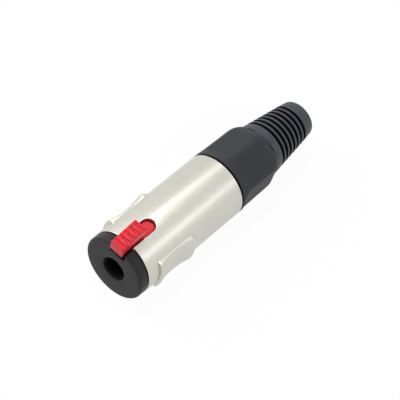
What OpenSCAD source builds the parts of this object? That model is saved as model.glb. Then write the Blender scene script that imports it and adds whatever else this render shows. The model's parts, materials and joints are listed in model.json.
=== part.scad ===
// In-line locking jack socket for a 6.35 mm plug, with a release lever and a screw-on strain relief.
// X runs along the plug's axis from the mouth of the bore to the cable end, and Z is up through the lever.

/* [Shell] */
// Outer diameter of the barrel
shell_d = 20; // [18:0.1:22]
// Length of the barrel
shell_len = 38.55; // [38:0.05:44]
// Wall of the barrel
shell_wall = 1.4; // [1.2:0.05:1.6]
// Edge break at both ends of the barrel
shell_edge = 0.25; // [0.1:0.05:0.4]
// Width of the lever slot
slot_w = 4.4; // [4:0.1:5]
// Length of the lever slot from the front of the barrel
slot_len = 10.3; // [9:0.1:11.5]
// Thickness of the inner ledge that stops carrier and chuck
ledge_t = 1.2; // [0.8:0.1:1.6]
// Height of the inner ledge
ledge_h = 1.2; // [0.8:0.1:1.5]

/* [Grip pads] */
// Start of the pads behind the front of the barrel
pad_start = 4; // [2:0.1:4.5]
// Length of the pads
pad_len = 16; // [14:0.1:22]
// Height of the pads, seen from the side
pad_w = 11; // [9:0.1:13]
// Radius of the pads' front corners, seen from the side
front_corner = 0.6; // [0.3:0.1:2]
// Radius of the pads' rear corners, seen from the side
rear_corner = 2.6; // [1:0.1:4]
// Rise of the pads at their crests
pad_rise = 1; // [0.8:0.05:1.5]
// Depth of the dish between the crests
pad_dish = 0.75; // [0.3:0.01:0.78]
// Length of the short ramp at the front of a pad
front_ramp = 0.3; // [0.2:0.1:2]
// Drop of the short ramp at the front of a pad
front_drop = 0.2; // [0.1:0.05:0.7]
// Length of the long ramp that runs out into the barrel behind a pad
rear_ramp = 2.7; // [2:0.1:5]

/* [Contact carrier] */
// Step of the nose disc below the barrel's surface
nose_step = 0.15; // [0:0.05:0.4]
// Thickness of the nose disc
nose_len = 3.3; // [2.8:0.1:3.6]
// Width of the dark seam between the nose disc and the barrel
nose_seam = 0.4; // [0.2:0.05:0.5]
// Edge rounding of the nose disc
nose_edge = 0.75; // [0.1:0.05:0.8]
// Diameter of the plug bore
bore_d = 6.4; // [6.4:0.02:6.5]
// Depth of the plug bore up to the tip pocket
bore_len = 26; // [25.5:0.1:26.2]
// Lead-in at the mouth of the bore
bore_lead = 0.3; // [0.1:0.05:0.4]
// Depth of the end of the tip pocket
pocket_end = 31.8; // [31.4:0.1:32]
// Overall length of the carrier
carrier_len = 33; // [32.8:0.1:34]
// Radial play between carrier and barrel
carrier_play = 0.1; // [0.05:0.01:0.15]
// Room under the lever's hub in its channel
hub_room = 0.6; // [0.5:0.05:0.7]
// Depth of the notch in the nose below its edge
notch_depth = 3.35; // [3.2:0.05:3.6]
// Side play of the lever in the notch
notch_play = 0.45; // [0.2:0.05:0.6]

/* [Release lever] */
// Side play of the lever in the slot
lever_play = 0.1; // [0.05:0.01:0.2]
// Overhang of the thumb pad in front of the nose
lever_overhang = 1.3; // [1:0.1:2]
// Length of the thumb pad
thumb_len = 8.8; // [8.8:0.1:9.4]
// Rise of the thumb pad's front edge above the barrel
thumb_rise = 2.95; // [2.4:0.05:3.2]
// Height of the thumb pad's front face
thumb_face = 3.3; // [2.8:0.1:3.4]
// Slope of the thumb pad's top
thumb_slope = 9.2; // [6:0.2:10]
// Thickness of the thumb pad's front wall
front_wall = 0.8; // [0.6:0.1:1.2]
// Height above the barrel where the thumb pad's sides step in
skirt_rise = 2.1; // [1.8:0.1:2.4]
// Depth of the step in the thumb pad's sides
skirt_step = 0.4; // [0.2:0.05:0.5]
// Number of ridges on the thumb pad
ridge_count = 6; // [4:1:6]
// Spacing of the ridges on the thumb pad
ridge_pitch = 1.71; // [1.4:0.01:1.71]
// Depth of the steps between the ridges
ridge_h = 0.55; // [0.3:0.05:0.6]
// Width of the plain rim on both sides of the ridges
rim_w = 0.3; // [0.2:0.05:0.8]
// Drop of the lower plate below the top of the barrel
plate_drop = 0.85; // [0.8:0.05:1.3]
// Side play of the lower plate beyond the lever's own
plate_play = 0.25; // [0.1:0.05:0.4]
// Distance of the pivot from the nose face
pivot_x = 17.5; // [17:0.1:18]
// Depth of the pivot below the barrel's inner wall
pivot_depth = 2; // [1.9:0.1:2.2]
// Diameter of the pivot pin
pin_d = 1.5; // [1.2:0.1:1.6]
// Running play of the lever on its pin
pin_play = 0.05; // [0.02:0.01:0.08]
// Diameter of the hub around the pin
hub_d = 3; // [2.8:0.1:3]
// Thickness of the lever's tail
tail_t = 1.5; // [1.2:0.1:1.6]
// Distance of the claw from the nose face
claw_x = 27.8; // [27.4:0.1:28.2]
// Thickness of the claw
claw_t = 0.8; // [0.6:0.05:1]
// Width of the claw
claw_w = 3; // [2.6:0.1:3.2]
// Height of the claw's tip above the axis
claw_tip = 2.65; // [2.5:0.05:3]
// Play of the claw in the lever
claw_play = 0.05; // [0.02:0.01:0.08]
// Distance of the spring from the nose face
spring_x = 6.3; // [5.8:0.1:6.8]
// Depth of the spring's seat below the lever's stem
spring_seat = 0.8; // [0.6:0.1:1]
// Outer diameter of the spring
spring_d = 2.7; // [2.4:0.1:3]
// Wire diameter of the spring
wire_d = 0.36; // [0.3:0.02:0.4]
// Turns of the spring
spring_turns = 4.5; // [4:0.5:4.5]

/* [Contacts] */
// Width of the contact strips
strip_w = 2.4; // [2:0.1:2.6]
// Thickness of the contact strips
strip_t = 0.4; // [0.3:0.05:0.5]
// Distance of the strips from the axis
strip_r = 5; // [4.9:0.05:5.1]
// Side play of the strips in their grooves
strip_play = 0.15; // [0.1:0.05:0.2]
// Distance of the sleeve contact from the nose face
sleeve_x = 9.5; // [9:0.1:11]
// Distance of the ring contact from the nose face
ring_x = 21.5; // [20.5:0.1:22]
// Distance of the tip contact from the nose face
tip_x = 28.6; // [28.3:0.1:28.8]
// Length of the spring arm between shank and crown
arm_len = 3.4; // [3:0.1:3.6]
// Length of the solder lugs behind the carrier
lug_len = 4.2; // [3:0.1:4.6]
// Diameter of the eye in a solder lug
eye_d = 1.2; // [0.8:0.1:1.4]

/* [Chuck] */
// Thickness of the chuck's collar
collar_t = 1.6; // [1.2:0.1:2]
// Radial play of the collar in the barrel
collar_play = 0.2; // [0.15:0.01:0.25]
// Outer diameter of the chuck's barrel
chuck_d = 13.4; // [13:0.1:13.6]
// Wall of the chuck's barrel
chuck_wall = 0.9; // [0.7:0.05:1]
// Length of the jaws' cone
cone_len = 7; // [6:0.1:8]
// Drop of the radius along the jaws' cone
cone_drop = 1.7; // [1.4:0.1:1.8]
// Diameter of the opening between the jaws
jaw_d = 7.2; // [6.4:0.1:7.4]
// Width of the slits between the jaws
slit_w = 1; // [0.8:0.1:1.2]
// Length of the slits in front of the cone
slit_lead = 2; // [1:0.1:3]
// Running play between chuck and bushing
chuck_play = 0.1; // [0.08:0.01:0.15]

/* [Bushing nut] */
// Gap between barrel and bushing
joint_gap = 0.15; // [0.1:0.01:0.25]
// Width of the dark seam in front of the bushing's grip
nut_seam = 0.45; // [0.2:0.05:0.5]
// Length of the bushing behind the joint
nut_len = 17.65; // [16:0.05:19]
// Play of the threaded spigot in the barrel
thread_play = 0.15; // [0.1:0.01:0.2]
// Radius lost from the front of the bushing to its shoulder
nut_taper = 0.25; // [0:0.05:0.4]
// Length of the domed shoulder
dome_len = 3.6; // [3:0.1:4]
// Drop of the radius over the domed shoulder
dome_drop = 1.3; // [1:0.1:1.5]
// Number of spanner flats
flat_count = 6; // [6:1:8]
// Depth of the flats at the shoulder
flat_depth = 0.85; // [0.5:0.01:1]
// Drop of the flats over the domed shoulder
flat_drop = 1; // [0.8:0.1:1.2]
// Tilt of the flats, deeper towards the cable
flat_tilt = 0.3; // [0:0.1:1.5]
// Distance of the flats from the front of the bushing
flat_front = 1.05; // [0.8:0.05:3]
// Length of the rounded run-out at the front of the flats
flat_runout = 3.2; // [2:0.1:5]
// Turn of the flats when the bushing is tight
flats_turn = 2; // [0:1:60]
// Distance from the end of the jaws to the boot's root
nut_web = 4; // [3:0.1:4.5]

/* [Strain relief boot] */
// Length of the boot behind the bushing
boot_len = 19.45; // [18.8:0.05:24]
// Step from the bushing's end down to the boot
boot_step = 0.25; // [0.05:0.05:0.6]
// Diameter of the boot at its rear end
boot_end_d = 11.5; // [11:0.1:12.5]
// Diameter of the cable opening
cable_d = 7.5; // [6.5:0.1:7.6]
// Diameter of the root that is held in the bushing
root_d = 13; // [12:0.1:13.4]
// Length of the root that is held in the bushing
root_len = 3.4; // [2.5:0.1:4]
// Play of the root in the bushing
root_play = 0.05; // [0.02:0.01:0.08]
// Number of ring grooves
groove_count = 7; // [5:1:7]
// Spacing of the ring grooves
groove_pitch = 1.9; // [1.8:0.02:2]
// Width of the ring grooves
groove_w = 1.1; // [0.7:0.05:1.2]
// Depth of the ring grooves
groove_depth = 0.9; // [0.5:0.05:1]
// Distance of the first groove from the bushing
groove_start = 2.75; // [2.5:0.05:3.6]
// Rounding of the boot's rear end
boot_round = 0.9; // [0.5:0.1:1.2]

/* [Hidden] */
$fn = 96;
arc_steps = 8;
metal_colour = [0.80, 0.79, 0.76];
black_colour = [0.14, 0.14, 0.15];
boot_colour = [0.10, 0.10, 0.11];
red_colour = [0.85, 0.12, 0.18];
steel_colour = [0.66, 0.67, 0.69];
brass_colour = [0.80, 0.66, 0.36];
chuck_colour = [0.86, 0.85, 0.80];

// overshoot of a cut past the face that it opens
over = 1;
// depth of the seams between the black mouldings and the barrel
seam_depth = 0.5;
// gap where one piece stops against another
seat = 0.1;
// play of a pressed-in piece
press_play = 0.01;

// barrel
shell_r = shell_d / 2;
inner_r = shell_r - shell_wall;
shell_rear = nose_len + shell_len;
slot_centre = nose_len + slot_len - slot_w / 2;
ledge_front = carrier_len + seat;
ledge_rear = ledge_front + ledge_t;
pad_front = nose_len + pad_start;
pad_rear = pad_front + pad_len;
crest_front = pad_front + front_ramp;
crest_rear = pad_rear - rear_ramp;
crest_mid = (crest_front + crest_rear) / 2;
crest_span = (crest_rear - crest_front) / 2;
runout_sink = 0.1;
dish_r = (pow(crest_span, 2) + pow(pad_dish, 2)) / (2 * pad_dish);
dish_angle = asin(crest_span / dish_r);

// lever
lever_w = slot_w - 2 * lever_play;
thumb_front = -lever_overhang;
thumb_rear = thumb_front + thumb_len;
thumb_top = shell_r + thumb_rise;
chin_len = 1.2;
chin_drop = 0.7;
ridge_first = 0.12;
step_shares = [0.04, 0.74, 0.95];
plate_top = shell_r - plate_drop;
plate_t = 1.5;
plate_w = lever_w - 2 * plate_play;
plate_end = slot_centre - lever_play;
skirt_z = shell_r + skirt_rise;
press_room = 1.7;
nose_r = shell_r - nose_step;
notch_floor = nose_r - notch_depth;
stem_bottom = notch_floor + press_room;
beam_side = 0.2;
beam_w = lever_w - 2 * beam_side;
beam_lead = 0.8;
beam_fall = 2.1;
roof_gap = 0.25;
beam_top = sqrt(pow(inner_r, 2) - pow(lever_w / 2, 2)) - roof_gap;
pivot_z = inner_r - pivot_depth;
tail_bottom = pivot_z - hub_d / 2 + beam_side;
tail_top = tail_bottom + tail_t;
tail_margin = 1.2;
tail_end = claw_x + claw_t / 2 + tail_margin;
spring_pocket = 0.6;
spring_play = 0.15;
bore_skin = 0.3;
channel_floor = max(pivot_z - hub_d / 2 - hub_room, bore_d / 2 + bore_skin);
spring_floor = max(channel_floor - spring_pocket, bore_d / 2 + bore_skin);
spring_top = stem_bottom - spring_seat;
spring_len = spring_top - spring_floor;
stud_d = spring_d - 2 * wire_d - 2 * spring_play;
stud_len = 0.9;

// carrier
carrier_r = inner_r - carrier_play;
bore_r = bore_d / 2;
tip_relief = 0.4;
pocket_r = bore_r + tip_relief;
channel_play = 0.2;
channel_w = lever_w + 2 * channel_play;
notch_w = lever_w + 2 * notch_play;
tail_room = 0.8;
claw_side_room = 0.3;
claw_front_room = 0.6;
claw_rear_room = 1;
pin_len = 2 * (sqrt(pow(carrier_r, 2) - pow(pivot_z + pin_d / 2, 2)) - seat);

// contacts
strip_seat = 0.05;
strip_room_w = strip_w + 2 * strip_play;
crown_r = bore_r + strip_seat;
crown_half = 0.5;
lip_len = 1.4;
lip_rise = 0.9;
bend = 0.3;
window_front_room = 0.6;
window_rear_room = 0.2;
lug_end = carrier_len + lug_len;

// chuck and bushing
chuck_front = ledge_rear + seat;
collar_rear = chuck_front + collar_t;
nut_front = shell_rear + joint_gap;
nut_rear = nut_front + nut_len;
boot_root = nut_rear - root_len;
jaw_end = boot_root - nut_web;
cone_start = jaw_end - cone_len;
chuck_r = chuck_d / 2;
hollow_r = chuck_r - chuck_wall;
slit_start = cone_start - slit_lead;
spigot_front = collar_rear + 2 * seat;
spigot_r = inner_r - thread_play;
nut_bore_r = chuck_r + chuck_play;
passage_play = 0.6;
passage_r = cable_d / 2 + passage_play;
dome_start = nut_rear - dome_len;
dome_r = shell_r - nut_taper;
flat_lag = 0.3;

// boot
boot_rear = nut_rear + boot_len;
boot_front_r = dome_r - dome_drop - boot_step;
boot_end_r = boot_end_d / 2;
groove_floor_share = 0.75;
round_start = 80;

// points of an arc about a centre
function arc(c, r, a1, a2, n = arc_steps) =
    [for (i = [0 : n]) let (a = a1 + (a2 - a1) * i / n) c + r * [cos(a), sin(a)]];

// swaps a list of [x, r] points to the [r, x] order that a revolve takes
function swapped(points) = [for (p = points) [p[1], p[0]]];

// revolves an outline of [x, r] points about the X axis
module turned(points) {
    rotate([0, 90, 0])
        rotate_extrude()
            polygon(swapped(points));
}

// cylinder along the X axis from x1 to x2
module rod(x1, x2, r) {
    translate([x1, 0, 0])
        rotate([0, 90, 0])
            cylinder(h = x2 - x1, r = r);
}

// cylinder across the part, along the Y axis
module cross_rod(x, z, r, w) {
    translate([x, 0, z])
        rotate([90, 0, 0])
            cylinder(h = w, r = r, center = true);
}

// extrudes an outline in the [x, z] plane across the part
module across(w) {
    rotate([90, 0, 0])
        linear_extrude(height = w, center = true)
            children();
}

// upright bar along X that is square in front and half-round at its rear end
module round_ended_bar(w, x1, x2, z1, z2) {
    translate([x1, -w / 2, z1])
        cube([x2 - x1, w, z2 - z1]);
    translate([x2, 0, z1])
        cylinder(h = z2 - z1, r = w / 2);
}

module shell_tube() {
    turned([
        [nose_len, inner_r],
        [nose_len, shell_r - shell_edge],
        [nose_len + shell_edge, shell_r],
        [shell_rear - shell_edge, shell_r],
        [shell_rear, shell_r - shell_edge],
        [shell_rear, inner_r],
        [ledge_rear, inner_r],
        [ledge_rear, inner_r - ledge_h],
        [ledge_front, inner_r - ledge_h],
        [ledge_front, inner_r]
    ]);
}

// outline of a grip pad, seen from the side
module pad_outline() {
    front_x = pad_front + front_corner;
    front_z = pad_w / 2 - front_corner;
    rear_x = pad_rear - rear_corner;
    rear_z = pad_w / 2 - rear_corner;
    polygon(concat(
        arc([front_x, front_z], front_corner, 180, 90),
        arc([rear_x, rear_z], rear_corner, 90, 0),
        arc([rear_x, -rear_z], rear_corner, 0, -90),
        arc([front_x, -front_z], front_corner, -90, -180)
    ));
}

// both grip pads: a dished ring, trimmed to their outline
module grip_pads() {
    foot_r = shell_r - shell_wall / 2;
    crest_r = shell_r + pad_rise;
    dish = arc([crest_mid, crest_r - pad_dish + dish_r], dish_r, 270 - dish_angle, 270 + dish_angle);
    intersection() {
        turned(concat(
            [[pad_front, foot_r], [pad_front, crest_r - front_drop]],
            dish,
            [[pad_rear, shell_r - runout_sink], [pad_rear, foot_r]]
        ));
        across(2 * shell_d)
            pad_outline();
    }
}

module shell() {
    color(metal_colour)
        difference() {
            union() {
                shell_tube();
                grip_pads();
            }
            round_ended_bar(slot_w, nose_len - over, slot_centre, 0, shell_r + over);
        }
}

module carrier_body() {
    turned(concat(
        [[0, 0]],
        arc([nose_edge, nose_r - nose_edge], nose_edge, 180, 90),
        [
            [nose_len - nose_seam, nose_r],
            [nose_len - nose_seam, nose_r - seam_depth],
            [nose_len, nose_r - seam_depth],
            [nose_len, carrier_r],
            [carrier_len - shell_edge, carrier_r],
            [carrier_len, carrier_r - shell_edge],
            [carrier_len, 0]
        ]
    ));
}

// plug bore with its lead-in, and the wider pocket for the plug's tip
module plug_bore() {
    rod(-over, bore_len, bore_r);
    rod(bore_len, pocket_end, pocket_r);
    turned([
        [-over, 0],
        [-over, bore_r + bore_lead + over],
        [bore_lead, bore_r],
        [bore_lead, 0]
    ]);
}

// channel for the lever, its notch in the nose, the spring's pocket and the claw's way to the bore
module lever_room() {
    translate([-over, -notch_w / 2, notch_floor])
        cube([nose_len + over + seat, notch_w, shell_r]);
    translate([nose_len, -channel_w / 2, channel_floor])
        cube([tail_end + tail_room - nose_len, channel_w, shell_r]);
    translate([spring_x, 0, spring_floor])
        cylinder(h = shell_r, r = spring_d / 2 + spring_play);
    claw_room = claw_t + claw_front_room + claw_rear_room;
    translate([claw_x - claw_t / 2 - claw_front_room, -claw_w / 2 - claw_side_room, 0])
        cube([claw_room, claw_w + 2 * claw_side_room, channel_floor + over]);
}

// groove along the carrier for a contact strip, with a window into the bore under its crown
module contact_groove(x, turn) {
    window_front = x - lip_len - window_front_room;
    window_rear = x + arm_len + window_rear_room;
    rotate([turn, 0, 0]) {
        translate([window_front, -strip_room_w / 2, strip_r - strip_seat])
            cube([carrier_len + over - window_front, strip_room_w, shell_r]);
        translate([window_front, -strip_room_w / 2, 0])
            cube([window_rear - window_front, strip_room_w, shell_r]);
    }
}

module contact_carrier() {
    color(black_colour)
        difference() {
            carrier_body();
            plug_bore();
            lever_room();
            cross_rod(pivot_x, pivot_z, pin_d / 2 + press_play, shell_d);
            contact_groove(sleeve_x, 180);
            contact_groove(ring_x, -90);
            contact_groove(tip_x, 90);
        }
}

// height of the thumb pad's sloping top at a distance behind its front
function pad_top(d) = thumb_top + d * tan(thumb_slope);

// side outline of the thumb pad
module thumb_outline() {
    polygon([
        [thumb_front, thumb_top - thumb_face],
        [thumb_front, thumb_top],
        [thumb_rear, pad_top(thumb_len)],
        [thumb_rear, stem_bottom],
        [nose_len, stem_bottom],
        [thumb_front + chin_len, thumb_top - thumb_face - chin_drop]
    ]);
}

// steps cut between the ridges: each slopes down from a crest and rises steeply to the next one
module ridge_steps() {
    for (i = [0 : ridge_count - 2]) {
        d = [for (share = step_shares) ridge_first + (i + share) * ridge_pitch];
        polygon([
            [thumb_front + d[0], pad_top(d[0]) + over],
            [thumb_front + d[0], pad_top(d[0])],
            [thumb_front + d[1], pad_top(d[1]) - ridge_h],
            [thumb_front + d[2], pad_top(d[2])],
            [thumb_front + d[2], pad_top(d[2]) + over]
        ]);
    }
}

// side outline of the beam between the stem, the hub and the tail
module beam_outline() {
    polygon([
        [nose_len + beam_lead, spring_top],
        [nose_len + beam_lead, stem_bottom + beam_side],
        [slot_centre, beam_top],
        [pivot_x, beam_top],
        [pivot_x + beam_fall, tail_top],
        [tail_end, tail_top],
        [tail_end, tail_bottom],
        [pivot_x - hub_d / 2, tail_bottom],
        [spring_x + spring_d, spring_top]
    ]);
}

// steps in the thumb pad's sides behind its front wall, below the ridged top
module skirt_steps() {
    for (side = [-1, 1])
        translate([thumb_front + front_wall, side * lever_w / 2 - skirt_step, stem_bottom - over])
            cube([thumb_len - front_wall, 2 * skirt_step, skirt_z - stem_bottom + over]);
}

// thumb pad with its ridges
module thumb_pad() {
    difference() {
        across(lever_w)
            thumb_outline();
        across(lever_w - 2 * rim_w)
            ridge_steps();
        skirt_steps();
    }
}

module release_lever() {
    color(red_colour)
        difference() {
            union() {
                thumb_pad();
                round_ended_bar(plate_w, thumb_rear - over, plate_end, plate_top - plate_t, plate_top);
                across(beam_w)
                    beam_outline();
                cross_rod(pivot_x, pivot_z, hub_d / 2, beam_w);
                translate([spring_x, 0, spring_top - stud_len])
                    cylinder(h = stud_len + beam_side, r = stud_d / 2);
            }
            cross_rod(pivot_x, pivot_z, pin_d / 2 + pin_play, shell_d);
            translate([claw_x - claw_t / 2 - claw_play, -claw_w / 2 - claw_play, 0])
                cube([claw_t + 2 * claw_play, claw_w + 2 * claw_play, shell_r]);
        }
}

// steel tooth through the lever's tail, its front lower edge cut away so that a plug lifts it
module latch_claw() {
    color(steel_colour)
        across(claw_w)
            polygon([
                [claw_x - claw_t / 2, claw_tip + claw_t],
                [claw_x - claw_t / 2, tail_top],
                [claw_x + claw_t / 2, tail_top],
                [claw_x + claw_t / 2, claw_tip],
                [claw_x + claw_t / 4, claw_tip]
            ]);
}

module lever_pin() {
    color(steel_colour)
        cross_rod(pivot_x, pivot_z, pin_d / 2, pin_len);
}

// share of the spring's height at a share t of its wire, with closed ends
function coil_rise(t) = t * t * (3 - 2 * t);

// ring of points around the spring's wire at a share t of its length
function coil_ring(t, sides) =
    let (
        a = 360 * spring_turns * t,
        out = [cos(a), sin(a), 0],
        z = spring_floor + wire_d / 2 + (spring_len - wire_d) * coil_rise(t),
        centre = [spring_x, 0, z] + (spring_d - wire_d) / 2 * out
    )
    [
        for (j = [0 : sides - 1])
            let (b = 360 * j / sides)
                centre + wire_d / 2 * (cos(b) * out + [0, 0, sin(b)])
    ];

module lever_spring() {
    sides = 8;
    rings = 16 * spring_turns;
    points = [for (i = [0 : rings], p = coil_ring(i / rings, sides)) p];
    skin = [
        for (i = [0 : rings - 1], j = [0 : sides - 1])
            let (k = (j + 1) % sides)
                [i * sides + j, (i + 1) * sides + j, (i + 1) * sides + k, i * sides + k]
    ];
    first_cap = [for (j = [0 : sides - 1]) j];
    last_cap = [for (j = [sides - 1 : -1 : 0]) rings * sides + j];
    color(steel_colour)
        polyhedron(points, concat(skin, [first_cap, last_cap]));
}

// spring strip along the carrier: a straight shank, an arm down to the crown and a solder lug behind
module contact_strip(x, turn) {
    shank = x + arm_len;
    lip = x - lip_len;
    color(brass_colour)
        rotate([turn, 0, 0])
            difference() {
                across(strip_w)
                    polygon([
                        [lug_end, strip_r],
                        [shank, strip_r],
                        [x + crown_half, crown_r],
                        [x - crown_half, crown_r],
                        [lip, crown_r + lip_rise],
                        [lip, crown_r + lip_rise + strip_t],
                        [x - crown_half + bend / 2, crown_r + strip_t],
                        [x + crown_half - bend / 2, crown_r + strip_t],
                        [shank - bend, strip_r + strip_t],
                        [lug_end, strip_r + strip_t]
                    ]);
                translate([lug_end - eye_d, 0, 0])
                    cylinder(h = shell_r, r = eye_d / 2);
            }
}

module sleeve_contact() {
    contact_strip(sleeve_x, 180);
}

module ring_contact() {
    contact_strip(ring_x, -90);
}

module tip_contact() {
    contact_strip(tip_x, 90);
}

// slit collet: a collar behind the ledge, a thin barrel round the wires and four jaws on a cone
module chuck() {
    jaw_start = slit_start + hollow_r - jaw_d / 2;
    color(chuck_colour)
        difference() {
            turned([
                [chuck_front, hollow_r],
                [chuck_front, inner_r - collar_play],
                [collar_rear, inner_r - collar_play],
                [collar_rear, chuck_r],
                [cone_start, chuck_r],
                [jaw_end, chuck_r - cone_drop],
                [jaw_end, jaw_d / 2],
                [jaw_start, jaw_d / 2],
                [slit_start, hollow_r]
            ]);
            for (turn = [0, 90])
                rotate([turn, 0, 0])
                    translate([slit_start, -shell_d, -slit_w / 2])
                        cube([jaw_end + over - slit_start, 2 * shell_d, slit_w]);
        }
}

// height of a spanner flat at a distance from the nose face
function flat_r(x) = dome_r - flat_depth + (dome_start - x) * tan(flat_tilt);

// rounded fall from a place and a radius to the end of the bushing
function shoulder(x, r, drop) =
    let (
        len = nut_rear - x,
        fall_r = (pow(len, 2) + pow(drop, 2)) / (2 * drop)
    )
    arc([x, r - fall_r], fall_r, 90, 90 - asin(len / fall_r));

// one spanner flat: a rounded run-out in front, a slightly tilted plane and the fall over the shoulder
module flat_cut() {
    runout_start = nut_front + flat_front;
    runout_end = runout_start + flat_runout;
    fall_start = dome_start + flat_lag;
    floor_r = flat_r(runout_end);
    rise = shell_r - floor_r;
    runout_r = (pow(flat_runout, 2) + pow(rise, 2)) / (2 * rise);
    runout_angle = asin(flat_runout / runout_r);
    across(2 * shell_r)
        polygon(concat(
            [[runout_start, shell_r + over]],
            arc([runout_end, floor_r + runout_r], runout_r, 270 - runout_angle, 270),
            shoulder(fall_start, flat_r(fall_start), flat_drop),
            [
                [nut_rear + over, flat_r(fall_start) - flat_drop],
                [nut_rear + over, shell_r + over]
            ]
        ));
}

module bushing_nut() {
    socket_r = root_d / 2 + root_play;
    jaw_stop = jaw_end + 2 * chuck_play;
    color(black_colour)
        difference() {
            turned(concat(
                [
                    [spigot_front, nut_bore_r],
                    [spigot_front, spigot_r],
                    [nut_front, spigot_r],
                    [nut_front, shell_r - seam_depth],
                    [nut_front + nut_seam, shell_r - seam_depth],
                    [nut_front + nut_seam, shell_r - shell_edge],
                    [nut_front + nut_seam + shell_edge, shell_r]
                ],
                shoulder(dome_start, dome_r, dome_drop),
                [
                    [nut_rear, socket_r],
                    [boot_root, socket_r],
                    [boot_root, passage_r],
                    [jaw_stop, passage_r],
                    [jaw_stop, chuck_r - cone_drop + chuck_play],
                    [cone_start + chuck_play, nut_bore_r]
                ]
            ));
            for (i = [0 : flat_count - 1])
                rotate([flats_turn + (i + 0.5) * 360 / flat_count, 0, 0])
                    flat_cut();
        }
}

// radius of the boot's plain taper at a distance behind the bushing
function boot_r(d) = boot_front_r + (boot_end_r - boot_front_r) * d / boot_len;

module strain_relief_boot() {
    half = groove_w / 2;
    floor_half = half * groove_floor_share;
    grooves = [
        for (
            i = [0 : groove_count - 1],
            p = [[-half, 0], [-floor_half, groove_depth], [floor_half, groove_depth], [half, 0]]
        )
            let (d = groove_start + half + i * groove_pitch + p[0])
                [nut_rear + d, boot_r(d) - p[1]]
    ];
    rear_round = arc([boot_rear - boot_round, boot_end_r - boot_round], boot_round, round_start, 0);
    color(boot_colour)
        turned(concat(
            [
                [boot_root + root_play, cable_d / 2],
                [boot_root + root_play, root_d / 2],
                [nut_rear, root_d / 2],
                [nut_rear, boot_front_r]
            ],
            grooves,
            rear_round,
            [[boot_rear, cable_d / 2]]
        ));
}

shell();
contact_carrier();
release_lever();
latch_claw();
lever_pin();
lever_spring();
sleeve_contact();
ring_contact();
tip_contact();
chuck();
bushing_nut();
strain_relief_boot();
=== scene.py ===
import bpy
import json
import math
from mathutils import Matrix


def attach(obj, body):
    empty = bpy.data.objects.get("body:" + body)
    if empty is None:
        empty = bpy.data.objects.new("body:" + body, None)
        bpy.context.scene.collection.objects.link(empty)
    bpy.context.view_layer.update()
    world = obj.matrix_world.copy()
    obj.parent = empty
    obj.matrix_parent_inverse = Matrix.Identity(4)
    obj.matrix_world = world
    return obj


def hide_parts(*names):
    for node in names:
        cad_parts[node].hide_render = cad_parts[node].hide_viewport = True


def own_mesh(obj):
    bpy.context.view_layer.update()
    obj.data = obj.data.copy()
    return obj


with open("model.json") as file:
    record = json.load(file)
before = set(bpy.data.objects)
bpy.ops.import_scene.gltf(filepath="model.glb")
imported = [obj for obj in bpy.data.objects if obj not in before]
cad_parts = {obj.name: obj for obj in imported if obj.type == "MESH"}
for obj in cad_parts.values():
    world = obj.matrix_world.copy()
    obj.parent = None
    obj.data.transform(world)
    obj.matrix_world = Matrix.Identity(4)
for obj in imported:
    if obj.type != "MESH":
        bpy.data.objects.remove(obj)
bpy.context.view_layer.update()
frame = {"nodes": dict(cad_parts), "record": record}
nodes = frame["nodes"]
print("frame loaded with", len(nodes), "nodes")

mm = 0.001  # pieces are modelled in millimetres and brought to metres when they are done
weld = 0.0005  # mm, corners closer than this become one
near = 0.01  # mm, tolerance when edges and faces are looked for


# camera, floor and light

view = {
    "lens": 148.35,
    "location": (-209.86, -121.96, 366.70),  # mm
    "turn": (35.1905, -11.1109, -48.3113),  # degrees
    "sensor": 36,  # mm
    "clipStart": 0.01,  # m
}


def addCamera():
    bpy.ops.object.camera_add(
        location=[c * mm for c in view["location"]],
        rotation=[math.radians(t) for t in view["turn"]],
    )
    camera = bpy.context.object
    camera.data.lens = view["lens"]
    camera.data.sensor_width = view["sensor"]
    camera.data.clip_start = view["clipStart"]
    bpy.context.scene.camera = camera


studio = {
    "floorHeight": -10.0,  # mm, under the barrel
    "floorSize": 6.0,  # m
    "floorColour": (0.95, 0.95, 0.95, 1),
    "floorGlow": 0.96,  # share of plain white that the camera sees on the floor
    "floorMirror": 0.8,  # the same in reflections, which show the floor with its shadow
    "ambient": 0.20,
    "aim": 22.0,  # mm along the barrel, where the lamps stand around
}

# direction each lamp stands in, distance, size in mm and radiance; a strip lies along the barrel
lamps = {
    "leftStrip": {
        "from": (0.543, 0.350, 0.763), "away": 520,
        "wide": 118, "long": 620, "glow": 1.22, "strip": True,
    },
    "rightStrip": {
        "from": (0.543, -0.630, 0.555), "away": 520,
        "wide": 116, "long": 620, "glow": 1.08, "strip": True,
    },
    "sideKey": {
        "from": (-0.25, 0.80, 0.55), "away": 700,
        "wide": 400, "long": 400, "glow": 6.0, "strip": False,
    },
    "smallKey": {
        "from": (-0.10, 0.27, 0.96), "away": 700,
        "wide": 35, "long": 300, "glow": 47.0, "strip": False,
    },
    "rightFill": {
        "from": (-0.15, -0.85, 0.50), "away": 700,
        "wide": 400, "long": 400, "glow": 2.6, "strip": False,
        "mirrored": False,
    },
}


def seenBackground(tree, plain, mirrored):
    # how much of the white background itself a ray sees: camera and transmission rays, glossy rays
    path = tree.nodes.new("ShaderNodeLightPath")
    direct = tree.nodes.new("ShaderNodeMath")
    direct.operation = "MAXIMUM"
    tree.links.new(path.outputs["Is Camera Ray"], direct.inputs[0])
    tree.links.new(path.outputs["Is Transmission Ray"], direct.inputs[1])
    shares = []
    for output, share in ((direct.outputs[0], plain), (path.outputs["Is Glossy Ray"], mirrored)):
        part = tree.nodes.new("ShaderNodeMath")
        part.operation = "MULTIPLY"
        part.inputs[1].default_value = share
        tree.links.new(output, part.inputs[0])
        shares.append(part.outputs[0])
    either = tree.nodes.new("ShaderNodeMath")
    either.operation = "MAXIMUM"
    for output, socket in zip(shares, either.inputs):
        tree.links.new(output, socket)
    return either.outputs[0]


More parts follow.
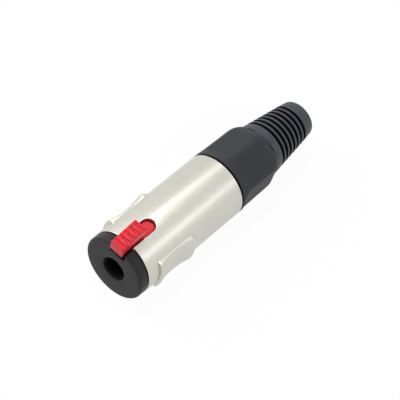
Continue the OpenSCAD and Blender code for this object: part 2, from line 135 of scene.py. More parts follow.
def addWorld():
    world = bpy.data.worlds.new("studioWorld")
    bpy.context.scene.world = world
    world.use_nodes = True
    tree = world.node_tree
    tree.nodes.clear()
    soft = tree.nodes.new("ShaderNodeBackground")
    soft.inputs["Color"].default_value = (1, 1, 1, 1)
    soft.inputs["Strength"].default_value = studio["ambient"]
    white = tree.nodes.new("ShaderNodeBackground")
    white.inputs["Color"].default_value = (1, 1, 1, 1)
    mix = tree.nodes.new("ShaderNodeMixShader")
    out = tree.nodes.new("ShaderNodeOutputWorld")
    tree.links.new(seenBackground(tree, 1, 1), mix.inputs["Fac"])
    tree.links.new(soft.outputs[0], mix.inputs[1])
    tree.links.new(white.outputs[0], mix.inputs[2])
    tree.links.new(mix.outputs[0], out.inputs["Surface"])


def addFloor():
    bpy.ops.object.select_all(action="DESELECT")
    bpy.ops.mesh.primitive_plane_add(
        size=studio["floorSize"], location=(0, 0, studio["floorHeight"] * mm)
    )
    floor = bpy.context.object
    floor.name = "studioFloor"
    material = bpy.data.materials.new("paleFloor")
    material.use_nodes = True
    tree = material.node_tree
    tree.nodes.clear()
    paint = tree.nodes.new("ShaderNodeBsdfDiffuse")
    paint.inputs["Color"].default_value = studio["floorColour"]
    glow = tree.nodes.new("ShaderNodeEmission")
    mix = tree.nodes.new("ShaderNodeMixShader")
    out = tree.nodes.new("ShaderNodeOutputMaterial")
    seen = seenBackground(tree, studio["floorGlow"], studio["floorMirror"])
    tree.links.new(seen, mix.inputs["Fac"])
    tree.links.new(paint.outputs[0], mix.inputs[1])
    tree.links.new(glow.outputs[0], mix.inputs[2])
    tree.links.new(mix.outputs[0], out.inputs["Surface"])
    floor.data.materials.append(material)


def addLamps():
    for name, lamp in lamps.items():
        x, y, z = lamp["from"]
        size = math.sqrt(x * x + y * y + z * z)
        bpy.ops.object.light_add(
            type="AREA",
            location=(
                (studio["aim"] + lamp["away"] * x / size) * mm,
                lamp["away"] * y / size * mm,
                lamp["away"] * z / size * mm,
            ),
        )
        light = bpy.context.object
        light.name = name
        if lamp["strip"]:
            light.rotation_euler = (math.atan2(-y, z), 0, 0)
        else:
            light.rotation_euler = (math.asin(-y / size), math.atan2(x, z), 0)
        light.data.shape = "RECTANGLE"
        light.data.size = lamp["long"] * mm
        light.data.size_y = lamp["wide"] * mm
        area = lamp["long"] * lamp["wide"] * mm * mm
        light.data.energy = lamp["glow"] * math.pi * area
        light.visible_glossy = lamp.get("mirrored", True)


# finishes

def grainGroup():
    # fine grain as a height, and slow mottling from 0 to 1
    group = bpy.data.node_groups.new("mouldGrain", "ShaderNodeTree")
    group.interface.new_socket("Vector", in_out="INPUT", socket_type="NodeSocketVector")
    group.interface.new_socket("Grain", in_out="INPUT", socket_type="NodeSocketFloat")
    group.interface.new_socket("Mottle", in_out="INPUT", socket_type="NodeSocketFloat")
    group.interface.new_socket("Height", in_out="OUTPUT", socket_type="NodeSocketFloat")
    group.interface.new_socket("Patches", in_out="OUTPUT", socket_type="NodeSocketFloat")
    start = group.nodes.new("NodeGroupInput")
    end = group.nodes.new("NodeGroupOutput")
    fine = group.nodes.new("ShaderNodeTexNoise")
    fine.inputs["Detail"].default_value = 3
    fine.inputs["Roughness"].default_value = 0.55
    slow = group.nodes.new("ShaderNodeTexNoise")
    slow.inputs["Detail"].default_value = 4
    for noise, size in ((fine, "Grain"), (slow, "Mottle")):
        group.links.new(start.outputs["Vector"], noise.inputs["Vector"])
        group.links.new(start.outputs[size], noise.inputs["Scale"])
    group.links.new(fine.outputs["Fac"], end.inputs["Height"])
    group.links.new(slow.outputs["Fac"], end.inputs["Patches"])
    return group


# colour from its darker to its lighter patches, roughness likewise, grain per metre, bump depth in m
finishes = {
    "satinNickel": {
        "dark": (0.578, 0.566, 0.508), "light": (0.634, 0.622, 0.560), "metal": 1.0,
        "rough": (0.30, 0.38), "grain": 5200, "mottle": 420, "bump": 1.6e-6,
    },
    "blackMoulding": {
        "dark": (0.019, 0.020, 0.025), "light": (0.025, 0.026, 0.032),
        "metal": 0.0, "specular": 0.30,
        "rough": (0.54, 0.62), "grain": 7000, "mottle": 260, "bump": 5e-6,
    },
    "noseBlack": {
        "dark": (0.016, 0.016, 0.018), "light": (0.021, 0.021, 0.023),
        "metal": 0.0, "specular": 0.20,
        "rough": (0.40, 0.50), "grain": 7000, "mottle": 260, "bump": 5e-6,
    },
    # painted shade: near-black colour for gaps, the bore and groove floors, where shade falls
    "paintedShadeBlack": {
        "dark": (0.003, 0.003, 0.004), "light": (0.004, 0.004, 0.005),
        "metal": 0.0, "specular": 0.08,
        "rough": (0.70, 0.80), "grain": 7000, "mottle": 260, "bump": 5e-6,
    },
    "softBlack": {
        "dark": (0.017, 0.0195, 0.030), "light": (0.022, 0.0250, 0.037),
        "metal": 0.0, "specular": 0.60,
        "rough": (0.44, 0.54), "grain": 5000, "mottle": 300, "bump": 6e-6,
    },
    "redMoulding": {
        "dark": (0.66, 0.020, 0.034), "light": (0.72, 0.028, 0.044),
        "metal": 0.0, "specular": 0.30,
        "rough": (0.28, 0.34), "grain": 6000, "mottle": 500, "bump": 1e-6,
    },
    "springSteel": {
        "dark": (0.56, 0.56, 0.57), "light": (0.64, 0.64, 0.65), "metal": 1.0,
        "rough": (0.20, 0.30), "grain": 4000, "mottle": 900, "bump": 1e-6,
    },
    "contactBrass": {
        "dark": (0.70, 0.53, 0.25), "light": (0.80, 0.63, 0.33), "metal": 1.0,
        "rough": (0.24, 0.34), "grain": 4000, "mottle": 700, "bump": 1e-6,
    },
    "paleNylon": {
        "dark": (0.70, 0.68, 0.60), "light": (0.78, 0.76, 0.69), "metal": 0.0,
        "rough": (0.44, 0.54), "grain": 5000, "mottle": 300, "bump": 4e-6,
    },
}


def makeFinish(name, grain):
    look = finishes[name]
    material = bpy.data.materials.new(name)
    material.use_nodes = True
    tree = material.node_tree
    shader = tree.nodes["Principled BSDF"]
    shader.inputs["Metallic"].default_value = look["metal"]
    shader.inputs["Specular IOR Level"].default_value = look.get("specular", 0.5)
    place = tree.nodes.new("ShaderNodeTexCoord")
    surface = tree.nodes.new("ShaderNodeGroup")
    surface.node_tree = grain
    surface.inputs["Grain"].default_value = look["grain"]
    surface.inputs["Mottle"].default_value = look["mottle"]
    tree.links.new(place.outputs["Object"], surface.inputs["Vector"])
    colour = tree.nodes.new("ShaderNodeMix")
    colour.data_type = "RGBA"
    colour.inputs["A"].default_value = (*look["dark"], 1)
    colour.inputs["B"].default_value = (*look["light"], 1)
    tree.links.new(surface.outputs["Patches"], colour.inputs["Factor"])
    tree.links.new(colour.outputs["Result"], shader.inputs["Base Color"])
    rough = tree.nodes.new("ShaderNodeMapRange")
    rough.inputs["To Min"].default_value, rough.inputs["To Max"].default_value = look["rough"]
    tree.links.new(surface.outputs["Patches"], rough.inputs["Value"])
    tree.links.new(rough.outputs["Result"], shader.inputs["Roughness"])
    bump = tree.nodes.new("ShaderNodeBump")
    bump.inputs["Distance"].default_value = look["bump"]
    tree.links.new(surface.outputs["Height"], bump.inputs["Height"])
    tree.links.new(bump.outputs["Normal"], shader.inputs["Normal"])
    return material


slotFinish = {
    "satin_nickel": "satinNickel",
    "black_moulding": "blackMoulding",
    "red_moulding": "redMoulding",
    "spring_steel": "springSteel",
    "contact_brass": "contactBrass",
    "pale_moulding": "paleNylon",
    "soft_black": "softBlack",
}


# modelling, in millimetres

def pick(piece):
    bpy.ops.object.select_all(action="DESELECT")
    piece.select_set(True)
    bpy.context.view_layer.objects.active = piece


def editAll(piece):
    pick(piece)
    bpy.context.tool_settings.mesh_select_mode = (True, False, False)
    bpy.ops.object.mode_set(mode="EDIT")
    bpy.ops.mesh.select_all(action="SELECT")


def leaveEdit():
    bpy.ops.object.mode_set(mode="OBJECT")


def drawOutline(name, points, fromAbove=False):
    # one vertex, extruded from point to point, in the side view or from above
    def spot(a, b):
        return (a, b, 0) if fromAbove else (a, 0, b)

    bpy.ops.object.select_all(action="DESELECT")
    bpy.ops.mesh.primitive_plane_add(size=1)
    outline = bpy.context.object
    outline.name = name
    editAll(outline)
    bpy.ops.mesh.merge(type="CENTER")
    bpy.ops.transform.translate(value=spot(*points[0]))
    for start, end in zip(points, points[1:]):
        step = spot(end[0] - start[0], end[1] - start[1])
        bpy.ops.mesh.extrude_region_move(TRANSFORM_OT_translate={"value": step})
    leaveEdit()
    return outline


def turnRound(name, points, steps):
    # a closed outline of x and radius, spun about the plug's axis
    piece = drawOutline(name, points + points[:1])
    editAll(piece)
    bpy.ops.mesh.spin(steps=steps, angle=2 * math.pi, center=(0, 0, 0), axis=(1, 0, 0))
    bpy.ops.mesh.select_all(action="SELECT")
    bpy.ops.mesh.remove_doubles(threshold=weld)
    bpy.ops.mesh.normals_make_consistent(inside=False)
    leaveEdit()
    return piece


def block(name, points, low, high, fromAbove=False):
    # a closed outline, filled and extruded from low to high
    piece = drawOutline(name, points + points[:1], fromAbove)
    editAll(piece)
    bpy.ops.mesh.remove_doubles(threshold=weld)
    bpy.ops.mesh.select_all(action="SELECT")
    bpy.ops.mesh.edge_face_add()
    along = (0, 0, 1) if fromAbove else (0, 1, 0)
    bpy.ops.transform.translate(value=[low * c for c in along])
    bpy.ops.mesh.extrude_region_move(
        TRANSFORM_OT_translate={"value": [(high - low) * c for c in along]}
    )
    bpy.ops.mesh.select_all(action="SELECT")
    bpy.ops.mesh.normals_make_consistent(inside=False)
    leaveEdit()
    return piece


def rod(name, centre, radius, length, tilt):
    bpy.ops.object.select_all(action="DESELECT")
    bpy.ops.mesh.primitive_cylinder_add(
        vertices=48, radius=radius, depth=length, location=centre, rotation=(tilt, 0, 0)
    )
    piece = bpy.context.object
    piece.name = name
    bpy.ops.object.transform_apply(location=True, rotation=True, scale=True)
    return piece


def crossRod(name, x, z, radius, width):
    return rod(name, (x, 0, z), radius, width, math.pi / 2)


def uprightRod(name, x, low, high, radius):
    return rod(name, (x, 0, (low + high) / 2), radius, high - low, 0)


def bar(name, x1, x2, halfWidth, z1, z2):
    return block(name, [(x1, z1), (x2, z1), (x2, z2), (x1, z2)], -halfWidth, halfWidth)


def combine(piece, tool, how):
    change = piece.modifiers.new("combine", "BOOLEAN")
    change.operation = how
    change.object = tool
    change.solver = "EXACT"
    pick(piece)
    bpy.ops.object.modifier_apply(modifier=change.name)
    bpy.data.objects.remove(tool, do_unlink=True)


def roundEdges(piece, test, width, segments):
    # bevels the edges for which test(first end, second end) holds
    pick(piece)
    mesh = piece.data
    bpy.context.tool_settings.mesh_select_mode = (False, True, False)
    for part in (mesh.vertices, mesh.edges, mesh.polygons):
        part.foreach_set("select", [False] * len(part))
    for edge in mesh.edges:
        a, b = (mesh.vertices[i].co for i in edge.vertices)
        edge.select = test(a, b)
    bpy.ops.object.mode_set(mode="EDIT")
    bpy.ops.mesh.bevel(offset=width, segments=segments, affect="EDGES", clamp_overlap=False)
    leaveEdit()


def softenEdges(piece, width, segments, angle):
    bevel = piece.modifiers.new("edges", "BEVEL")
    bevel.width = width
    bevel.segments = segments
    bevel.limit_method = "ANGLE"
    bevel.angle_limit = math.radians(angle)
    bevel.use_clamp_overlap = True
    pick(piece)
    bpy.ops.object.modifier_apply(modifier=bevel.name)


def arc(centre, radius, start, end, steps):
    return [
        (
            centre[0] + radius * math.cos(math.radians(start + (end - start) * i / steps)),
            centre[1] + radius * math.sin(math.radians(start + (end - start) * i / steps)),
        )
        for i in range(steps + 1)
    ]


def around(point):
    return math.hypot(point[1], point[2])


def faceOutward(piece):
    # the faces look away from the plug's axis
    outward = sum(
        f.normal.y * f.center.y + f.normal.z * f.center.z for f in piece.data.polygons
    )
    if outward < 0:
        editAll(piece)
        bpy.ops.mesh.flip_normals()
        leaveEdit()


def finishPiece(piece, node, angle):
    # to metres, smooth, in its finish, and in the place of its solid
    pick(piece)
    piece.scale = (mm, mm, mm)
    bpy.ops.object.transform_apply(location=True, rotation=True, scale=True)
    bpy.ops.object.shade_smooth_by_angle(angle=math.radians(angle))
    slot = slots[node]
    piece.data.materials.clear()
    piece.data.materials.append(made[slotFinish[slot]])
    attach(piece, bodies[node])
    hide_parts(node)
    print("made", piece.name, "with", len(piece.data.polygons), "faces")


def paintShade(piece, test):
    # painted shade: a near-black finish put on the faces for which test(x, radius) holds, in gaps,
    # bores and groove floors where shade falls
    piece.data.materials.append(made["paintedShadeBlack"])
    for face in piece.data.polygons:
        if test(face.center.x / mm, around(face.center) / mm):
            face.material_index = 1


# metal barrel with the lever's slot and the two grip pads

barrel = {
    "front": 3.3, "rear": 41.85, "outer": 10.0, "inner": 8.6, "steps": 144,
    "ledge": (33.1, 34.3, 7.4),  # from, to, radius
    "slotHalf": 2.2, "slotCentre": 11.4, "slotTop": 14, "edge": 0.16, "smooth": 35,
}

gripPad = {
    "front": 7.3, "rear": 22.8, "half": 5.5, "frontCorner": 0.6, "rearCorner": 3.0,
    "crestFront": 7.6, "crestRear": 20.3, "rise": 1.0, "dish": 0.75,
    "frontDrop": 0.2, "sink": 0.1, "rim": 0.16, "foot": 9.3,
    "rimLines": (0, 0.015, 0.045, 0.09, 0.16, 0.3), "across": 60, "up": 40,
}


def padRadius(x):
    p = gripPad
    crest = barrel["outer"] + p["rise"]
    if x < p["crestFront"]:
        share = (p["crestFront"] - x) / (p["crestFront"] - p["front"])
        return crest - p["frontDrop"] * share
    if x > p["crestRear"]:
        share = (x - p["crestRear"]) / (p["rear"] - p["crestRear"])
        return crest - (p["rise"] + p["sink"]) * share
    middle = (p["crestFront"] + p["crestRear"]) / 2
    half = (p["crestRear"] - p["crestFront"]) / 2
    return crest - p["dish"] * (1 - ((x - middle) / half) ** 2)


def lineSpot(line, count, half):
    # place of a grid line: close together along the rim, even between
    rim = gripPad["rimLines"]
    last = len(rim) - 1
    if line <= last:
        return rim[line] - half
    if line >= count - last:
        return half - rim[count - line]
    return (rim[last] - half) * (1 - 2 * (line - last) / (count - 2 * last))


def addPad(side):
    p = gripPad
    halfLong = (p["rear"] - p["front"]) / 2
    middle = (p["rear"] + p["front"]) / 2
    bpy.ops.object.select_all(action="DESELECT")
    bpy.ops.mesh.primitive_grid_add(x_subdivisions=p["across"], y_subdivisions=p["up"], size=2)
    pad = bpy.context.object
    for vertex in pad.data.vertices:
        column = round((vertex.co.x + 1) / 2 * p["across"])
        row = round((vertex.co.y + 1) / 2 * p["up"])
        x = lineSpot(column, p["across"], halfLong)
        z = lineSpot(row, p["up"], p["half"])
        corner = p["frontCorner"] if x < 0 else p["rearCorner"]
        outX = (abs(x) - halfLong + corner) / corner
        outZ = (abs(z) - p["half"] + corner) / corner
        inset = min(halfLong - abs(x), p["half"] - abs(z))
        if outX > 0 and outZ > 0:  # the square corner is drawn in to a round one
            newX = outX * math.sqrt(1 - outZ * outZ / 2)
            newZ = outZ * math.sqrt(1 - outX * outX / 2)
            x = math.copysign(halfLong - corner * (1 - newX), x)
            z = math.copysign(p["half"] - corner * (1 - newZ), z)
            inset = corner * (1 - math.hypot(newX, newZ))
        over = max(p["rim"] - max(inset, 0), 0)
        drop = p["rim"] - math.sqrt(p["rim"] ** 2 - over ** 2)
        radius = padRadius(middle + x) - drop
        vertex.co = (middle + x, side * math.sqrt(radius * radius - z * z), z)
    pick(pad)
    bpy.ops.object.mode_set(mode="EDIT")
    bpy.ops.mesh.select_all(action="DESELECT")
    bpy.ops.mesh.select_non_manifold()
    bpy.ops.mesh.extrude_region_move(TRANSFORM_OT_translate={"value": (0, 0, 0)})
    leaveEdit()
    for vertex in pad.data.vertices:
        if vertex.select:
            vertex.co.y = side * math.sqrt(p["foot"] ** 2 - vertex.co.z ** 2)
    editAll(pad)
    bpy.ops.mesh.normals_make_consistent(inside=False)
    leaveEdit()
    faceOutward(pad)
    return pad


def makeBarrel():
    b = barrel
    ledgeFront, ledgeRear, ledgeRadius = b["ledge"]
    shell = turnRound("barrelShell", [
        (b["front"], b["inner"]),
        (b["front"], b["outer"]),
        (b["rear"], b["outer"]),
        (b["rear"], b["inner"]),
        (ledgeRear, b["inner"]),
        (ledgeRear, ledgeRadius),
        (ledgeFront, ledgeRadius),
        (ledgeFront, b["inner"]),
    ], b["steps"])
    half, centre = b["slotHalf"], b["slotCentre"]
    slot = block(
        "slotTool",
        [(0, -half)] + arc((centre, 0), half, -90, 90, 32) + [(0, half)],
        0, b["slotTop"], fromAbove=True,
    )
    combine(shell, slot, "DIFFERENCE")

    def onSlotRim(p):
        wall = abs(abs(p.y) - half) < near and p.x < centre + near
        bow = abs(math.hypot(p.x - centre, p.y) - half) < near and p.x > centre - near
        return (wall or bow) and p.z > 0 and around(p) > b["outer"] - 2 * near

    def onEnds(p):
        atEnd = abs(p.x - b["front"]) < near or abs(p.x - b["rear"]) < near
        return atEnd and around(p) > b["outer"] - 2 * near

    roundEdges(
        shell,
        lambda p, q: (onSlotRim(p) and onSlotRim(q)) or (onEnds(p) and onEnds(q)),
        b["edge"], 3,
    )
    pads = [addPad(side) for side in (-1, 1)]
    pick(shell)
    for pad in pads:
        pad.select_set(True)
    bpy.ops.object.join()
    finishPiece(shell, "shell", b["smooth"])


# black nose and body that carries the contacts

carrier = {
    "noseRadius": 9.85, "noseLength": 3.3, "rim": 0.75, "seam": 0.45, "seamRadius": 8.9,
    "bodyRadius": 8.5, "length": 33.0, "boreRadius": 3.2, "boreEnd": 26.0, "lip": 1.2,
    "pocketRadius": 3.6, "pocketEnd": 31.8, "shadedBore": 3.8, "steps": 144, "smooth": 35,
    "notch": (-1, 3.4, 2.55, 6.5, 14),  # from, to, half width, floor, top
    "channel": (3.3, 30.2, 2.3, 4.5, 14),
    "claw": (26.8, 29.2, 1.8, 0.5, 6),
    "spring": (6.3, 3.9, 6, 1.5),  # place, floor, top, radius
    "pin": (17.5, 6.6, 0.76, 24),  # place, height, radius, width
    "grooveHalf": 1.35, "grooveAhead": 2, "groove": (4.95, 12),  # floor, top
    "windowBehind": 3.6, "window": (1, 7),
}

# place of each contact's crown along the bore, and the turn of its groove from straight up
contactGrooves = {"sleeve": (9.5, 180), "ring": (21.5, -90), "tip": (28.6, 90)}


def turnedAbout(piece, degrees):
    # turns a finished tool about the plug's axis
    pick(piece)
    piece.rotation_euler = (math.radians(degrees), 0, 0)
    bpy.ops.object.transform_apply(location=True, rotation=True, scale=True)
    return piece


def makeCarrier():
    c = carrier
    lip = arc((c["lip"], c["boreRadius"] + c["lip"]), c["lip"], 270, 180, 8)
    rim = arc((c["rim"], c["noseRadius"] - c["rim"]), c["rim"], 180, 90, 8)
    nose = turnRound("noseCarrier", lip + rim + [
        (c["noseLength"] - c["seam"], c["noseRadius"]),
        (c["noseLength"] - c["seam"], c["seamRadius"]),
        (c["noseLength"], c["seamRadius"]),
        (c["noseLength"], c["bodyRadius"]),
        (c["length"], c["bodyRadius"]),
        (c["length"], 0),
        (c["pocketEnd"], 0),
        (c["pocketEnd"], c["pocketRadius"]),
        (c["boreEnd"], c["pocketRadius"]),
        (c["boreEnd"], c["boreRadius"]),
    ], c["steps"])
    combine(nose, bar("notchTool", *c["notch"]), "DIFFERENCE")
    combine(nose, bar("channelTool", *c["channel"]), "DIFFERENCE")
    combine(nose, uprightRod("springTool", *c["spring"]), "DIFFERENCE")
    combine(nose, bar("clawTool", *c["claw"]), "DIFFERENCE")
    combine(nose, crossRod("pinTool", *c["pin"]), "DIFFERENCE")
    for name, (x, turn) in contactGrooves.items():
        front = x - c["grooveAhead"]
        run = bar(name + "Run", front, c["length"] + 1, c["grooveHalf"], *c["groove"])
        combine(nose, turnedAbout(run, turn), "DIFFERENCE")
        rear = x + c["windowBehind"]
        window = bar(name + "Window", front, rear, c["grooveHalf"], *c["window"])
        combine(nose, turnedAbout(window, turn), "DIFFERENCE")
    finishPiece(nose, "contact_carrier", c["smooth"])
    nose.data.materials.clear()
    nose.data.materials.append(made["noseBlack"])
    # painted shade: the bore's faces near the axis get the near-black finish
    paintShade(nose, lambda x, radius: radius < c["shadedBore"])


# red release lever

lever = {
    "half": 2.1, "front": -1.3, "rear": 7.5, "top": 12.95, "face": 3.3, "slope": 9.2,
    "chin": (1.2, 0.7), "stem": 8.2, "noseLength": 3.3, "shoulder": 0.5, "endRound": 0.2,
    "frontWall": 0.8, "skirtTop": 12.1, "skirtStep": 0.4,
    "ridges": 6, "firstRidge": 0.12, "pitch": 1.71, "ridgeHeight": 0.55,
    "steps": (0.09, 0.74, 0.85), "landDrop": 0.06, "crestRound": 0.15,
    "clearTop": 4, "clearSide": 3, "clearEnd": 1,  # how far the cutting tools stand out
    "plateTop": 9.15, "plateThick": 1.5, "plateCentre": 11.3, "plateHalf": 1.85,
    "plateRound": 0.2, "plateFree": 0.9,  # rounded edge, and what the pad hides of it
    "beamStart": 4.1, "beamRise": 0.2, "beamHalf": 1.9, "beamTop": 8.09,
    "springTop": 7.4, "springEnd": 9.0, "slotCentre": 11.4,
    "pivot": (17.5, 6.6), "hub": 1.5, "pinHole": (0.8, 12),  # radius, width
    "tail": (5.3, 6.8, 29.4), "tailStart": 19.6,
    "claw": (27.35, 28.25, 1.55, 4, 8),  # from, to, half width, floor, top
    "stud": (6.3, 6.5, 7.6, 0.84),  # place, floor, top, radius
    "smooth": 40,
}


def padTop(d):
    return lever["top"] + d * math.tan(math.radians(lever["slope"]))


def roundedCorner(before, corner, after, reach, steps):
    # points along an outline's corner, rounded from reach in front of it to reach behind it
    def towards(end):
        size = math.dist(corner, end)
        return [c + (e - c) * reach / size for c, e in zip(corner, end)]

    first, last = towards(before), towards(after)
    return [
        tuple(
            (1 - t) ** 2 * f + 2 * t * (1 - t) * c + t * t * l
            for f, c, l in zip(first, corner, last)
        )
        for t in (i / steps for i in range(steps + 1))
    ]


def ridgeTool():
    # everything above the thumb pad's ridges: from each crest a slope, a steep rise and a narrow land
    v = lever

    def spot(d, drop):
        return (v["front"] + d, padTop(d) - drop)

    drops = (0, v["ridgeHeight"], v["landDrop"])
    corners = [spot(v["firstRidge"], 0)]
    for i in range(v["ridges"] - 1):
        for share, drop in zip(v["steps"], drops):
            corners.append(spot(v["firstRidge"] + (i + share) * v["pitch"], drop))
    corners.append(spot(v["firstRidge"] + (v["ridges"] - 1 + v["steps"][0]) * v["pitch"], 0))
    above = v["top"] + v["clearTop"]
    outline = [(corners[0][0], above), corners[0]]
    for before, corner, after in zip(corners, corners[1:], corners[2:]):
        outline += roundedCorner(before, corner, after, v["crestRound"], 4)
    outline += [corners[-1], (corners[-1][0], above)]
    return block("ridgeTool", outline, -v["clearSide"], v["clearSide"])


def makeLever():
    v = lever
    chinLong, chinDrop = v["chin"]
    thumb = block("releaseLever", [
        (v["front"], v["top"] - v["face"]),
        (v["front"], v["top"]),
        (v["rear"], padTop(v["rear"] - v["front"])),
        (v["rear"], v["stem"]),
        (v["noseLength"], v["stem"]),
        (v["front"] + chinLong, v["top"] - v["face"] - chinDrop),
    ], -v["half"], v["half"])

    def onTop(p):
        return abs(p.z - padTop(p.x - v["front"])) < near

    roundEdges(
        thumb,
        lambda p, q: onTop(p) and onTop(q) and abs(p.y - q.y) < near,
        v["shoulder"], 6,
    )
    for x, low in ((v["front"], v["top"] - v["face"]), (v["rear"], v["stem"])):
        roundEdges(
            thumb,
            lambda p, q: max(abs(p.x - x), abs(q.x - x)) < near and max(p.z, q.z) > low + near,
            v["endRound"], 4,
        )
    combine(thumb, ridgeTool(), "DIFFERENCE")
    start, end = v["front"] + v["frontWall"], v["rear"] + v["clearEnd"]
    foot, web = v["stem"] - v["clearEnd"], v["half"] - v["skirtStep"]
    for low, high in ((-v["clearSide"], -web), (web, v["clearSide"])):
        skirt = block("skirtTool", [
            (start, foot),
            (end, foot),
            (end, v["skirtTop"]),
            (start, v["skirtTop"]),
        ], low, high)
        combine(thumb, skirt, "DIFFERENCE")
    plate = block(
        "plate",
        [(v["rear"] - 1, -v["plateHalf"])]
        + arc((v["plateCentre"], 0), v["plateHalf"], -90, 90, 24)
        + [(v["rear"] - 1, v["plateHalf"])],
        v["plateTop"] - v["plateThick"], v["plateTop"], fromAbove=True,
    )
    roundEdges(
        plate,
        lambda p, q: (
            min(p.z, q.z) > v["plateTop"] - near
            and max(p.x, q.x) > v["rear"] - v["plateFree"]
        ),
        v["plateRound"], 3,
    )
    combine(thumb, plate, "UNION")
    pivotX, pivotZ = v["pivot"]
    tailLow, tailHigh, tailEnd = v["tail"]
    beam = block("beam", [
        (v["beamStart"], v["springTop"]),
        (v["beamStart"], v["stem"] + v["beamRise"]),
        (v["slotCentre"], v["beamTop"]),
        (pivotX, v["beamTop"]),
        (v["tailStart"], tailHigh),
        (tailEnd, tailHigh),
        (tailEnd, tailLow),
        (pivotX - v["hub"], tailLow),
        (v["springEnd"], v["springTop"]),
    ], -v["beamHalf"], v["beamHalf"])
    combine(thumb, beam, "UNION")
    combine(thumb, crossRod("hub", pivotX, pivotZ, v["hub"], 2 * v["beamHalf"]), "UNION")
    combine(thumb, uprightRod("stud", *v["stud"]), "UNION")
    combine(thumb, crossRod("pinHole", pivotX, pivotZ, *v["pinHole"]), "DIFFERENCE")
    combine(thumb, bar("clawHole", *v["claw"]), "DIFFERENCE")
    finishPiece(thumb, "release_lever", v["smooth"])


# black bushing nut: threaded spigot, spanner flats, domed shoulder

nut = {
    "spigotFront": 36.2, "bore": 6.75, "spigot": 8.12, "front": 42.0, "rear": 59.65,
    "outer": 10.0, "shoulder": 56.05, "shoulderRadius": 9.75, "end": 8.45, "edge": 0.25,
    "seam": 0.50, "seamRadius": 9.0,
    "socket": (56.25, 6.55), "passage": 4.35, "jawStop": 52.45, "jawRadius": 5.05,
    "coneStart": 45.35, "rings": 80, "domeRings": 24, "steps": 432,
    "flats": 6, "flatTurn": 2.0, "flatDepth": 0.85, "flatDrop": 1.0, "flatTilt": 0.3,
    "flatFront": 1.05, "runOut": 3.2, "softness": 0.05,
    "soften": (0.14, 2, 35),  # width, segments, least angle
    "threadCrest": 8.52, "threadPitch": 1.0, "threadTurns": 4, "threadStart": 36.9,
    "threadFoot": 0.42, "threadTip": 0.07, "threadSink": 0.15, "threadSteps": 72,
    "gap": (41.9, 42.52),  # the seam's faces painted in shade lie between
    "smooth": 35,
}


def softLeast(a, b, width):
    blend = max(0, min(1, 0.5 + 0.5 * (b - a) / width))
    return b + (a - b) * blend - width * blend * (1 - blend)


def fall(distance, length, drop):
    # how far a rounded shoulder has fallen, which falls by drop over its length
    radius = (length ** 2 + drop ** 2) / (2 * drop)
    return radius - math.sqrt(radius ** 2 - distance ** 2)


def flatHeight(x):
    # rounded run-out in front, a slightly tilted plane, and the fall over the shoulder
    n = nut
    low = n["shoulderRadius"] - n["flatDepth"]
    slope = math.tan(math.radians(n["flatTilt"]))
    rampEnd = n["front"] + n["flatFront"] + n["runOut"]
    if x > n["shoulder"]:
        return low - fall(x - n["shoulder"], n["rear"] - n["shoulder"], n["flatDrop"])
    if x > rampEnd:
        return low + (n["shoulder"] - x) * slope
    rampLow = low + (n["shoulder"] - rampEnd) * slope
    return rampLow + fall(rampEnd - x, n["runOut"], n["outer"] - rampLow)


def makeThread():
    n = nut
    root = n["spigot"] - n["threadSink"]
    start, foot, tip = n["threadStart"], n["threadFoot"], n["threadTip"]
    ridge = drawOutline("thread", [
        (start - foot, root),
        (start - tip, n["threadCrest"]),
        (start + tip, n["threadCrest"]),
        (start + foot, root),
    ])
    screw = ridge.modifiers.new("turns", "SCREW")
    screw.axis = "X"
    screw.angle = 2 * math.pi
    screw.screw_offset = n["threadPitch"]
    screw.iterations = n["threadTurns"]
    screw.steps = n["threadSteps"]
    screw.render_steps = n["threadSteps"]
    pick(ridge)
    bpy.ops.object.modifier_apply(modifier=screw.name)
    editAll(ridge)
    bpy.ops.mesh.remove_doubles(threshold=weld)
    leaveEdit()
    faceOutward(ridge)
    return ridge


def makeNut():
    n = nut
    skinStart = n["front"] + n["seam"] + n["edge"]
    length = n["shoulder"] - skinStart
    taper = n["outer"] - n["shoulderRadius"]
    skin = [
        (skinStart + length * i / n["rings"], n["outer"] - taper * i / n["rings"])
        for i in range(n["rings"])
    ]
    domeLong = n["rear"] - n["shoulder"]
    domeDrop = n["shoulderRadius"] - n["end"]
    domeRadius = (domeLong ** 2 + domeDrop ** 2) / (2 * domeDrop)
    sweep = math.degrees(math.asin(domeLong / domeRadius))
    domeCentre = (n["shoulder"], n["shoulderRadius"] - domeRadius)
    dome = arc(domeCentre, domeRadius, 90, 90 - sweep, n["domeRings"])
    socketFront, socketRadius = n["socket"]
    bushing = turnRound("bushingNut", [
        (n["spigotFront"], n["bore"]),
        (n["spigotFront"], n["spigot"]),
        (n["front"], n["spigot"]),
        (n["front"], n["seamRadius"]),
        (n["front"] + n["seam"], n["seamRadius"]),
        (n["front"] + n["seam"], n["outer"] - n["edge"]),
    ] + skin + dome + [
        (n["rear"], socketRadius),
        (socketFront, socketRadius),
        (socketFront, n["passage"]),
        (n["jawStop"], n["passage"]),
        (n["jawStop"], n["jawRadius"]),
        (n["coneStart"], n["bore"]),
    ], n["steps"])
    # the flats are pressed into the outer skin
    for vertex in bushing.data.vertices:
        p = vertex.co
        radius = around(p)
        if p.x < n["front"] + near or radius < n["end"] - near:
            continue
        turn = math.degrees(math.atan2(-p.y, p.z)) - n["flatTurn"]
        offCentre = (turn % (360 / n["flats"])) - 180 / n["flats"]
        limit = flatHeight(p.x) / math.cos(math.radians(offCentre))
        pressed = softLeast(radius, limit, n["softness"])
        vertex.co = (p.x, p.y * pressed / radius, p.z * pressed / radius)
    softenEdges(bushing, *n["soften"])
    thread = makeThread()
    pick(bushing)
    thread.select_set(True)
    bpy.ops.object.join()
    finishPiece(bushing, "bushing_nut", n["smooth"])
    # painted shade: the seam's faces get the near-black finish
    gapFront, gapRear = n["gap"]
    paintShade(bushing, lambda x, radius: gapFront < x < gapRear and radius > n["spigot"])


# soft boot with its ring grooves

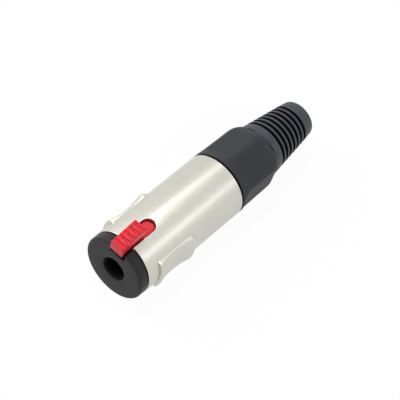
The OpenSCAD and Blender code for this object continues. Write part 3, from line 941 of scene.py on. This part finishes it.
boot = {
    "root": 56.3, "front": 59.65, "rear": 79.1, "bore": 3.75, "rootRadius": 6.5,
    "frontRadius": 8.2, "rearRadius": 5.75, "steps": 128,
    "grooves": 7, "firstGroove": 2.75, "pitch": 1.9, "grooveWide": 1.1, "grooveDeep": 1.5,
    # the last value here is how deep in a groove the painted shade begins
    "floorShare": 0.85, "rearRound": 0.9, "shadeFrom": 0.6,
    "soften": (0.12, 3, 40),  # width, segments, least angle
    "smooth": 40,
}


def makeBoot():
    b = boot

    def taper(d):
        share = d / (b["rear"] - b["front"])
        return b["frontRadius"] + (b["rearRadius"] - b["frontRadius"]) * share

    half = b["grooveWide"] / 2
    floor = half * b["floorShare"]
    rings = []
    for i in range(b["grooves"]):
        middle = b["firstGroove"] + half + i * b["pitch"]
        for offset, depth in ((-half, 0), (-floor, 1), (floor, 1), (half, 0)):
            d = middle + offset
            rings.append((b["front"] + d, taper(d) - depth * b["grooveDeep"]))
    tail = arc(
        (b["rear"] - b["rearRound"], b["rearRadius"] - b["rearRound"]), b["rearRound"], 80, 0, 8
    )
    sleeve = turnRound("strainBoot", [
        (b["root"], b["bore"]),
        (b["root"], b["rootRadius"]),
        (b["front"], b["rootRadius"]),
        (b["front"], b["frontRadius"]),
    ] + rings + tail + [(b["rear"], b["bore"])], b["steps"])
    softenEdges(sleeve, *b["soften"])
    finishPiece(sleeve, "strain_relief_boot", b["smooth"])
    # painted shade: groove faces deeper below the taper than the given depth get the near-black
    # finish
    paintShade(
        sleeve,
        lambda x, radius: x > b["front"] and radius < taper(x - b["front"]) - b["shadeFrom"],
    )


# coil spring under the lever

spring = {
    "x": 6.3, "floor": 3.9, "top": 7.4, "radius": 1.17, "wire": 0.18, "turns": 4.5,
    "steps": 20, "sides": 12, "keep": 0.65, "smooth": 50,
}


def makeSpring():
    s = spring
    bpy.ops.object.select_all(action="DESELECT")
    bpy.ops.mesh.primitive_circle_add(
        vertices=s["sides"], radius=s["wire"], fill_type="NGON",
        location=(s["x"] + s["radius"], 0, s["floor"] + s["wire"]), rotation=(math.pi / 2, 0, 0),
    )
    coil = bpy.context.object
    coil.name = "leverSpring"
    bpy.ops.object.transform_apply(location=True, rotation=True, scale=True)
    editAll(coil)
    count = round(s["turns"] * s["steps"])
    rise = s["top"] - s["floor"] - 2 * s["wire"]

    def eased(t):
        return rise * t * t * (3 - 2 * t)  # the end turns lie closed

    for i in range(count):
        climb = eased((i + 1) / count) - eased(i / count)
        bpy.ops.mesh.extrude_region_move(TRANSFORM_OT_translate={"value": (0, 0, climb)})
        bpy.ops.transform.rotate(
            value=2 * math.pi / s["steps"], orient_axis="Z", center_override=(s["x"], 0, 0)
        )
    bpy.ops.mesh.select_all(action="SELECT")
    bpy.ops.mesh.normals_make_consistent(inside=False)
    leaveEdit()
    finishPiece(coil, "lever_spring", s["smooth"])
    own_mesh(coil)


bpy.context.scene.view_settings.view_transform = "Standard"
addCamera()
addWorld()
addFloor()
addLamps()
print("studio ready")

grain = grainGroup()
made = {name: makeFinish(name, grain) for name in finishes}
slots = {part["node"]: part["material_slot"] for part in frame["record"]["subparts"]}
bodies = {
    node: body
    for body, members in frame["record"]["behaviour"]["bodies"].items()
    for node in members
}
for node, piece in nodes.items():
    piece.data.materials.clear()
    piece.data.materials.append(made[slotFinish[slots[node]]])
print("finishes set")

makeBarrel()
makeCarrier()
makeLever()
makeNut()
makeBoot()
makeSpring()
